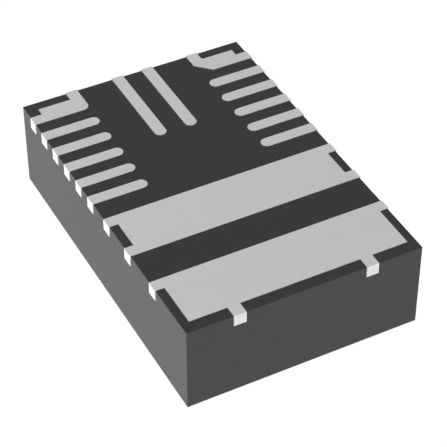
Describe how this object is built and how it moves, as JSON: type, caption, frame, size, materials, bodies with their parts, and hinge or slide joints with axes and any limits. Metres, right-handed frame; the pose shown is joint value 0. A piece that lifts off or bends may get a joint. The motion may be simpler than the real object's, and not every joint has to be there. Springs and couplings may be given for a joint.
{
  "type": "step-down converter module",
  "caption": "Flat moulded block with flush lead-frame lands on one face and square lead ends round its edges; a buck converter with its inductor inside.",
  "frame": {"origin": "centre of the flat marking face, which the module lies on", "axes": "+X across the short side, +Y along the long side towards the corner leads, +Z out of the solder lands"},
  "size_m": [0.004, 0.006, 0.0016],
  "materials": {
    "moulding_compound": "matte, silica-filled epoxy with sawn sides",
    "tinned_lead": "matte tin plate over copper",
    "silicon": "satin, ground back",
    "copper": "satin copper",
    "chip_ceramic": "matte fired ceramic",
    "tinned_cap": "satin tin plate",
    "solder": "satin reflowed solder",
    "pressed_core": "matte pressed alloy powder"
  },
  "bodies": {
    "root": {"moulded_body": "moulding_compound", "corner_lead_left": "tinned_lead", "corner_lead_right": "tinned_lead", "side_lead_left_1": "tinned_lead", "side_lead_left_2": "tinned_lead", "side_lead_left_3": "tinned_lead", "side_lead_left_4": "tinned_lead", "side_lead_left_5": "tinned_lead", "side_lead_right_1": "tinned_lead", "side_lead_right_2": "tinned_lead", "side_lead_right_3": "tinned_lead", "side_lead_right_4": "tinned_lead", "side_lead_right_5": "tinned_lead", "back_lead_left": "tinned_lead", "back_lead_right": "tinned_lead", "middle_bar_lead": "tinned_lead", "front_bar_lead": "tinned_lead", "converter_die": "silicon", "die_pillars": "copper", "input_capacitor_left": "chip_ceramic", "input_capacitor_left_caps": "tinned_cap", "input_capacitor_right": "chip_ceramic", "input_capacitor_right_caps": "tinned_cap", "supply_capacitor": "chip_ceramic", "supply_capacitor_caps": "tinned_cap", "boot_capacitor": "chip_ceramic", "boot_capacitor_caps": "tinned_cap", "capacitor_solder": "solder", "inductor_core": "pressed_core", "inductor_winding": "copper", "inductor_terminal_front": "tinned_cap", "inductor_terminal_back": "tinned_cap", "inductor_solder": "solder"}
  },
  "joints": []
}
